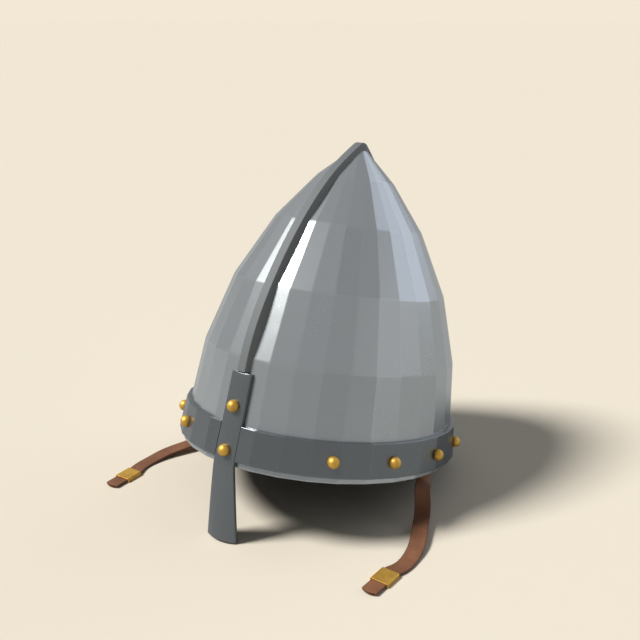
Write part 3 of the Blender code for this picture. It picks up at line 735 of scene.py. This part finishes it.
def build_strap(form, side, word):
    """A strap: a rounded section carried along its line, turned by a quarter below the rim."""
    z = form.z
    corners, turns = strap_route(form, side)
    straight = corners[-2] + np.linspace(0.0, 1.0, STRAP_LAST_STEPS)[1:, None] * (corners[-1] - corners[-2])
    path = np.concatenate([smooth_path(corners[:-1], STRAP_STEPS), straight])
    turn = np.interp(np.arange(len(path)) / STRAP_STEPS, np.arange(len(turns) - 1), turns[:-1])
    along = unit(np.gradient(path, axis=0))
    quarter = turn * np.pi / 2
    start = np.array([0.0, math.cos(form.tilt), -math.sin(form.tilt)])
    width = np.cos(quarter)[:, None] * start + np.sin(quarter)[:, None] * np.array([side, 0.0, 0.0])
    width = unit(width - along * np.sum(width * along, axis=1)[:, None])
    thick = unit(np.cross(width, along))
    half = np.array([z.strap_width, z.strap_thickness]) / 2
    section, marks = rounded(half * [(-1, 1), (1, 1), (1, -1), (-1, -1)], STRAP_ROUNDING,
                             flats=(0.03, 0.25, 0.5, 0.75, 0.97))
    points = path[:, None] + section[:, 0, None] * width[:, None] + section[:, 1, None] * thick[:, None]
    bow = STRAP_TIP * (2 * section[:, 0] / z.strap_width) ** 2
    reach = np.clip(1 - np.arange(len(path))[::-1] / STRAP_TIP_POINTS, 0.0, 1.0)
    points = points - reach[:, None, None] * bow[None, :, None] * along[:, None]
    small = points[-1] - unit(points[-1] - points[-1].mean(axis=0)) * STRAP_END_ROUNDING[0]
    points[-1] -= along[-1] * STRAP_END_ROUNDING[1]
    points = np.concatenate([points, [small]])
    run = np.r_[0.0, np.cumsum(np.linalg.norm(np.diff(points.mean(axis=1), axis=0), axis=1))] / z.strap_width
    surface = Surface()
    surface.tube(points, run, marks, tag=(0.0, 0.7))
    return surface.build(f"strap_{word}", "strap_leather", [f"chin_strap_{word}"],
                         sharp=60.0)


def build_keeper(form, side, word):
    """A sleeve: outer and inner rounded loops at both ends, joined by softened rims."""
    z = form.z
    corners = strap_route(form, side)[0]
    run = unit(corners[-1] - corners[-2])
    centre = corners[-1] - run * (z.keeper_place + z.keeper_length / 2)
    half = z.strap_width / 2 + z.fit + z.keeper_wall
    tall = z.strap_thickness + 2 * z.fit + 2 * z.keeper_wall

    def loop(inset, roundings):
        width, low, high = half - inset, inset, tall - inset
        return rounded(np.array([(-width, low), (width, low), (width, high), (-width, high)]), roundings)

    outer, marks = loop(0.0, KEEPER_OUTER_ROUNDINGS)
    inner, _ = loop(z.keeper_wall, KEEPER_INNER_ROUNDINGS)
    sideways = np.array([-run[1], run[0], 0.0])
    upright = np.array([0.0, 0.0, 1.0])
    base = np.array([centre[0], centre[1], 0.0])
    rings = np.stack([base + ring[:, :1] * sideways + ring[:, 1:] * upright + end * z.keeper_length / 2 * run
                      for ring, end in ((outer, -1), (outer, 1), (inner, 1), (inner, -1))])
    along, through = KEEPER_END_ROUNDING / z.keeper_length, KEEPER_WALL_SHARE
    shares = np.array([along, through, along, through])
    points, levels = softened(rings, np.roll(shares, 1), shares, closed=True)
    surface = Surface()
    surface.grid(points, levels, marks)
    return surface.build(f"keeper_{word}", "worn_brass", [f"strap_keeper_{word}"], sharp=60.0)


def operation(name, turned=False):
    """A method that adds a Math node; turned puts the wire itself last."""
    def method(self, *others):
        values = (*others, self) if turned else (self, *others)
        sockets = {str(i): value for i, value in enumerate(values)}
        return self.graph.wire("ShaderNodeMath", 0, {"operation": name}, **sockets)

    return method


class Wire:
    """A socket whose sums, differences and products add the Math nodes."""

    def __init__(self, graph, socket):
        self.graph = graph
        self.socket = socket

    __add__ = operation("ADD")
    __radd__ = operation("ADD", turned=True)
    __sub__ = operation("SUBTRACT")
    __rsub__ = operation("SUBTRACT", turned=True)
    __mul__ = operation("MULTIPLY")
    __abs__ = operation("ABSOLUTE")
    fraction = operation("FRACT")
    whole = operation("FLOOR")
    modulo = operation("MODULO")


class Graph:
    """The nodes of one material, with a Principled shader ready."""

    def __init__(self, name, metallic=0.0):
        self.material = bpy.data.materials.new(name)
        self.material.use_nodes = True
        self.tree = self.material.node_tree
        self.shader = self.tree.nodes["Principled BSDF"]
        self.shader.inputs["Metallic"].default_value = metallic
        self.place = self.wire("ShaderNodeTexCoord", "Object")

    def node(self, kind, settings=None, **values):
        """A node with its settings, then its sockets by name or number."""
        node = self.tree.nodes.new(kind)
        for key, value in (settings or {}).items():
            setattr(node, key, value)
        for key, value in values.items():
            socket = node.inputs[int(key)] if key.isdigit() else node.inputs[key.replace("_", " ")]
            if isinstance(value, Wire):
                self.tree.links.new(value.socket, socket)
            else:
                socket.default_value = value
        return node

    def wire(self, kind, output, settings=None, **values):
        return Wire(self, self.node(kind, settings, **values).outputs[output])

    def line_numbers(self):
        """The running numbers of the surface's lines, along and across."""
        lines = self.wire("ShaderNodeUVMap", "UV", {"uv_map": "lines"})
        split = self.node("ShaderNodeSeparateXYZ", None, Vector=lines)
        return Wire(self, split.outputs[0]), Wire(self, split.outputs[1])

    def noise(self, scale, detail=3.0, roughness=0.5, place=None):
        return self.wire("ShaderNodeTexNoise", 0, Vector=place or self.place, Scale=scale, Detail=detail,
                         Roughness=roughness)

    def cells(self, scale, feature="F1"):
        return self.wire("ShaderNodeTexVoronoi", "Distance", {"feature": feature}, Vector=self.place,
                         Scale=scale)

    def ramp(self, value, low, high):
        """A smooth step from zero to one while the value runs from low to high."""
        settings = {"interpolation_type": "SMOOTHSTEP"}
        return self.wire("ShaderNodeMapRange", "Result", settings, Value=value, From_Min=low, From_Max=high)

    def mix(self, factor, first, second):
        """A colour between two, each a colour or a wire."""
        values = {"0": factor, "6": first, "7": second}
        values = {k: (*v, 1.0) if k != "0" and not isinstance(v, Wire) else v for k, v in values.items()}
        return self.wire("ShaderNodeMix", 2, {"data_type": "RGBA"}, **values)

    def turned(self, angle, scale):
        """Object coordinates turned about X and stretched."""
        return self.wire("ShaderNodeMapping", "Vector", None, Vector=self.place, Rotation=(angle, 0.0, 0.0),
                         Scale=scale)

    def set(self, name, value):
        """A value or a wire into the shader."""
        socket = self.shader.inputs[name]
        if isinstance(value, Wire):
            self.tree.links.new(value.socket, socket)
        else:
            socket.default_value = value

    def bump(self, height, strength, distance):
        self.set("Normal", self.wire("ShaderNodeBump", "Normal", None, Strength=strength, Distance=distance,
                                     Height=height))


def shade(colour_, factor):
    """A colour made lighter or darker, in plain numbers."""
    return tuple(min(1.0, c * factor) for c in colour_)


def steel_material(name, colour_, metal, roughness, tilt, inside):
    """Forged and ground steel: grinding lines up the plates, a little dark staining, black scale inside.

    The scale lies where v is beyond inside.
    """
    g = Graph(name, metallic=metal)
    u, v = g.line_numbers()
    seed = g.wire("ShaderNodeCombineXYZ", 0, None, X=(u + 0.0001).whole(), Y=(v + 0.0001).whole(), Z=0.0)
    facet = g.wire("ShaderNodeTexWhiteNoise", "Value", {"noise_dimensions": "3D"}, Vector=seed)
    near_u = 0.5 - abs(u.fraction() - 0.5)
    near_v = 0.5 - abs(v.fraction() - 0.5)
    cloud = g.noise(22.0, 4.0, 0.55)
    fine = g.noise(240.0, 3.0, 0.6)
    lines = g.noise(1.0, 4.0, 0.65, g.turned(tilt, GRINDING))
    dents = g.cells(95.0, "SMOOTH_F1")
    edge = g.ramp(near_u, 0.05, 0.0) + g.ramp(near_v, 0.03, 0.0)
    edge = g.ramp(edge * (0.4 + cloud), 0.35, 1.1)
    stains = g.ramp(cloud * 0.7 + fine * 0.3, 0.56, 0.72)
    tone = g.mix(facet, shade(colour_, 0.94), shade(colour_, 1.06))
    tone = g.mix(g.ramp(lines, 0.3, 0.7) * 0.35, tone, shade(colour_, LINE_TONE))
    tone = g.mix(stains * 0.12, tone, shade(colour_, STAIN_TONE))
    tone = g.mix(edge * 0.5, tone, shade(colour_, EDGE_TONE))
    scale = g.ramp(v, inside, inside + 0.1)
    tone = g.mix(scale, tone, shade(colour_, SCALE_TONE))
    g.set("Base Color", tone)
    g.set("Roughness", roughness + (lines - 0.5) * 0.08 + stains * 0.08 + scale * 0.3 + (facet - 0.5) * 0.02)
    g.bump(lines * 0.3 + fine * 0.2 + dents * 1.5, 0.3, 0.0001)
    return g.material


def brass_material(name, colour_):
    """Worn brass: a warm yellow, darker where it isn't handled."""
    g = Graph(name, metallic=0.75)
    cloud = g.noise(160.0, 4.0, 0.6)
    fine = g.noise(900.0, 2.0, 0.6)
    tone = g.mix(g.ramp(cloud, 0.35, 0.7), colour_, shade(colour_, 0.80))
    tone = g.mix(g.ramp(fine, 0.55, 0.75) * 0.3, tone, BRASS_SPOTS)
    g.set("Base Color", tone)
    g.set("Roughness", 0.42 + cloud * 0.14 + fine * 0.05)
    g.bump(cloud * 1.4 + fine * 0.3, 0.4, 0.00018)
    return g.material


def leather_material(name, colour_):
    """Waxed strap leather: pebbled grain, creases across, burnished dark edges."""
    g = Graph(name)
    run, mark = g.line_numbers()
    side = abs(mark.modulo(2.0) - 0.5)
    edge = g.ramp(side, 0.40, 0.52)
    cloud = g.noise(55.0, 4.0, 0.6)
    grain = g.cells(1150.0)
    pores = g.noise(2600.0, 2.0, 0.6)
    stretched = g.wire("ShaderNodeCombineXYZ", 0, None, X=run * 5.0, Y=mark * 1.2, Z=0.0)
    creases = g.noise(2.2, 3.0, 0.6, stretched)
    tone = g.mix(g.ramp(cloud, 0.3, 0.7), shade(colour_, 0.80), shade(colour_, 1.18))
    tone = g.mix((1 - g.ramp(grain, 0.0, 0.5)) * 0.22, tone, shade(colour_, 1.35))
    tone = g.mix(g.ramp(creases, 0.56, 0.68) * 0.45, tone, shade(colour_, 0.6))
    tone = g.mix(edge * 0.65, tone, shade(colour_, 0.42))
    g.set("Base Color", tone)
    g.set("Roughness", 0.56 + cloud * 0.14 - edge * 0.10)
    g.set("Specular IOR Level", 0.5)
    g.bump(grain * -0.8 + pores * 0.25 + creases * -1.5, 0.5, 0.00012)
    return g.material


def floor_material(colour_, mirrored):
    """A plain pale floor with a very faint unevenness, and a painted reflection: the metal mirrors it greyer
    than its own colour.
    """
    g = Graph("studio_floor")
    cloud = g.noise(1.3, 3.0, 0.5)
    glossy = g.wire("ShaderNodeLightPath", "Is Glossy Ray")
    tone = g.mix(cloud, shade(colour_, 0.995), shade(colour_, 1.005))
    # Painted reflection: glossy rays see the greyer mirrored colour, not the floor's own.
    g.set("Base Color", g.mix(glossy, tone, mirrored))
    g.set("Roughness", 0.9)
    g.set("Specular IOR Level", 0.0)
    return g.material


MATERIALS = {}


def material(name):
    """The named material, made from the scene's finish when it is first asked for."""
    if name not in MATERIALS:
        scene = bpy.context.scene
        finish = scene.helmet_finish
        if name == "worn_brass":
            made = brass_material(name, tuple(finish.brass))
        elif name == "strap_leather":
            made = leather_material(name, tuple(finish.leather))
        else:
            steel, metal, roughness, inside = STEELS[name]
            tilt = Form(scene.helmet_sizes).tilt
            made = steel_material(name, tuple(getattr(finish, steel)), getattr(finish, metal),
                                  getattr(finish, roughness), tilt, inside)
        MATERIALS[name] = made
    return MATERIALS[name]


class HelmetOperator:
    """What the helmet's operators share."""

    bl_options = {"REGISTER", "UNDO"}

    def execute(self, context):
        self.make(Form(context.scene.helmet_sizes))
        return {"FINISHED"}


class HELMET_OT_skull(HelmetOperator, bpy.types.Operator):
    """Build the faceted skull"""

    bl_idname = "helmet.skull"
    bl_label = "Skull"
    make = staticmethod(build_skull)


class HELMET_OT_crest(HelmetOperator, bpy.types.Operator):
    """Build the crest strip"""

    bl_idname = "helmet.crest"
    bl_label = "Crest strip"
    make = staticmethod(build_crest)


class HELMET_OT_band(HelmetOperator, bpy.types.Operator):
    """Build the brow band"""

    bl_idname = "helmet.band"
    bl_label = "Brow band"
    make = staticmethod(build_band)


class HELMET_OT_nasal(HelmetOperator, bpy.types.Operator):
    """Build the nasal guard"""

    bl_idname = "helmet.nasal"
    bl_label = "Nasal guard"
    make = staticmethod(build_nasal)


class HELMET_OT_rivets(HelmetOperator, bpy.types.Operator):
    """Build the domed rivets and give the hidden strap rivets brass"""

    bl_idname = "helmet.rivets"
    bl_label = "Rivets"

    def make(self, form):
        z = form.z
        seats = []
        for k in range(BAND_RIVETS):
            angle = FIRST_RIVET + RIVET_STEP * k
            seat = form.seat_on_band(angle, BAND_RIVET_HEIGHT, z.seat + z.band_thickness)
            seats.append((f"band_rivet_{k + 1:02d}", seat, z.band_thickness))
        for name, height in NASAL_RIVETS:
            seats.append((name, form.seat_on_front(height, z.seat + z.nasal_thickness), z.nasal_thickness))
        for name, seat, thickness in seats:
            build_rivet(form, name, *seat, thickness + z.seat + z.skull_wall)
        for node in ("strap_rivet_left", "strap_rivet_right"):
            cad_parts[node].data.materials.clear()
            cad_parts[node].data.materials.append(material("worn_brass"))


class HELMET_OT_straps(HelmetOperator, bpy.types.Operator):
    """Build the two chin straps"""

    bl_idname = "helmet.straps"
    bl_label = "Chin straps"

    def make(self, form):
        for word, side in SIDES:
            build_strap(form, side, word)


class HELMET_OT_keepers(HelmetOperator, bpy.types.Operator):
    """Build the two strap keepers"""

    bl_idname = "helmet.keepers"
    bl_label = "Strap keepers"

    def make(self, form):
        for word, side in SIDES:
            build_keeper(form, side, word)


class HELMET_OT_studio(bpy.types.Operator):
    """Set up the floor, the lights and the camera"""

    bl_idname = "helmet.studio"
    bl_label = "Studio"
    bl_options = {"REGISTER", "UNDO"}

    def execute(self, context):
        scene = context.scene
        studio = scene.helmet_studio
        line = np.linspace(-FLOOR_REACH, FLOOR_REACH, FLOOR_LINES)
        surface = Surface()
        surface.grid(np.stack(np.meshgrid(line, line, [0.0], indexing="ij"), axis=-1)[:, :, 0], line, line)
        mesh = bpy.data.meshes.new("studio_floor")
        mesh.from_pydata(np.concatenate(surface.points).tolist(), [], surface.faces[0].tolist())
        # The floor's own colour, and the greyer painted reflection of it in the metal.
        mesh.materials.append(floor_material(tuple(studio.floor), tuple(studio.floor_mirrored)))
        floor = bpy.data.objects.new("studio_floor", mesh)
        scene.collection.objects.link(floor)

        world = bpy.data.worlds.new("studio_world")
        world.use_nodes = True
        tree = world.node_tree
        shown = tree.nodes["Background"]
        shown.inputs["Color"].default_value = (*EVEN_COLOUR, 1.0)
        shown.inputs["Strength"].default_value = studio.ambient * LOW_SKY
        path = tree.nodes.new("ShaderNodeLightPath")
        direction = tree.nodes.new("ShaderNodeSeparateXYZ")
        tree.links.new(tree.nodes.new("ShaderNodeTexCoord").outputs["Generated"], direction.inputs[0])
        for factor, colour_, strength in ((direction.outputs["Z"], EVEN_COLOUR, studio.ambient * HIGH_SKY),
                                          (path.outputs["Is Glossy Ray"], MIRRORED_COLOUR, studio.mirrored),
                                          (path.outputs["Is Camera Ray"], studio.backdrop, 1.0)):
            other = tree.nodes.new("ShaderNodeBackground")
            other.inputs["Color"].default_value = (*colour_, 1.0)
            other.inputs["Strength"].default_value = strength
            mixed = tree.nodes.new("ShaderNodeMixShader")
            tree.links.new(factor, mixed.inputs[0])
            tree.links.new(shown.outputs[0], mixed.inputs[1])
            tree.links.new(other.outputs[0], mixed.inputs[2])
            shown = mixed
        tree.links.new(shown.outputs[0], tree.nodes["World Output"].inputs["Surface"])
        scene.world = world

        scene.view_settings.view_transform = "Standard"
        for name, spread, colour_, direction in LIGHTS:
            light = bpy.data.lights.new(name, "SUN")
            light.energy = getattr(studio, name)
            light.angle = math.radians(spread)
            light.color = colour_
            lamp = bpy.data.objects.new(name, light)
            scene.collection.objects.link(lamp)
            lamp.location = Vector(direction) * LAMP_DISTANCE
            lamp.rotation_euler = Vector(direction).to_track_quat("Z", "Y").to_euler()

        camera = bpy.data.cameras.new("camera")
        camera.sensor_width = 36.0
        camera.angle = studio.view_angle
        camera.clip_start = 0.01
        camera.clip_end = 200.0
        view = bpy.data.objects.new("camera", camera)
        scene.collection.objects.link(view)
        view.location = CAMERA_PLACE
        aim = Vector(CAMERA_TARGET) - Vector(CAMERA_PLACE)
        view.rotation_euler = aim.to_track_quat("-Z", "Y").to_euler()
        scene.camera = view
        return {"FINISHED"}


class HELMET_PT_panel(bpy.types.Panel):
    """The helmet's pieces"""

    bl_label = "Nasal helmet"
    bl_idname = "HELMET_PT_panel"
    bl_space_type = "VIEW_3D"
    bl_region_type = "UI"
    bl_category = "Helmet"

    def draw(self, context):
        for group in (context.scene.helmet_sizes, context.scene.helmet_finish, context.scene.helmet_studio):
            box = self.layout.box()
            for name in group.bl_rna.properties.keys():
                if name not in ("rna_type", "name"):
                    box.prop(group, name)
        for operator in OPERATORS:
            self.layout.operator(operator.bl_idname)


OPERATORS = (HELMET_OT_skull, HELMET_OT_crest, HELMET_OT_band, HELMET_OT_nasal, HELMET_OT_rivets,
             HELMET_OT_straps, HELMET_OT_keepers, HELMET_OT_studio)
CLASSES = (HelmetSizes, HelmetFinish, HelmetStudio, *OPERATORS, HELMET_PT_panel)


def register():
    for cls in CLASSES:
        bpy.utils.register_class(cls)
    bpy.types.Scene.helmet_sizes = PointerProperty(type=HelmetSizes)
    bpy.types.Scene.helmet_finish = PointerProperty(type=HelmetFinish)
    bpy.types.Scene.helmet_studio = PointerProperty(type=HelmetStudio)


def unregister():
    del bpy.types.Scene.helmet_studio
    del bpy.types.Scene.helmet_finish
    del bpy.types.Scene.helmet_sizes
    for cls in reversed(CLASSES):
        bpy.utils.unregister_class(cls)


def main():
    register()
    for operator in OPERATORS:
        group, name = operator.bl_idname.split(".")
        getattr(getattr(bpy.ops, group), name)()


if __name__ == "__main__":
    main()
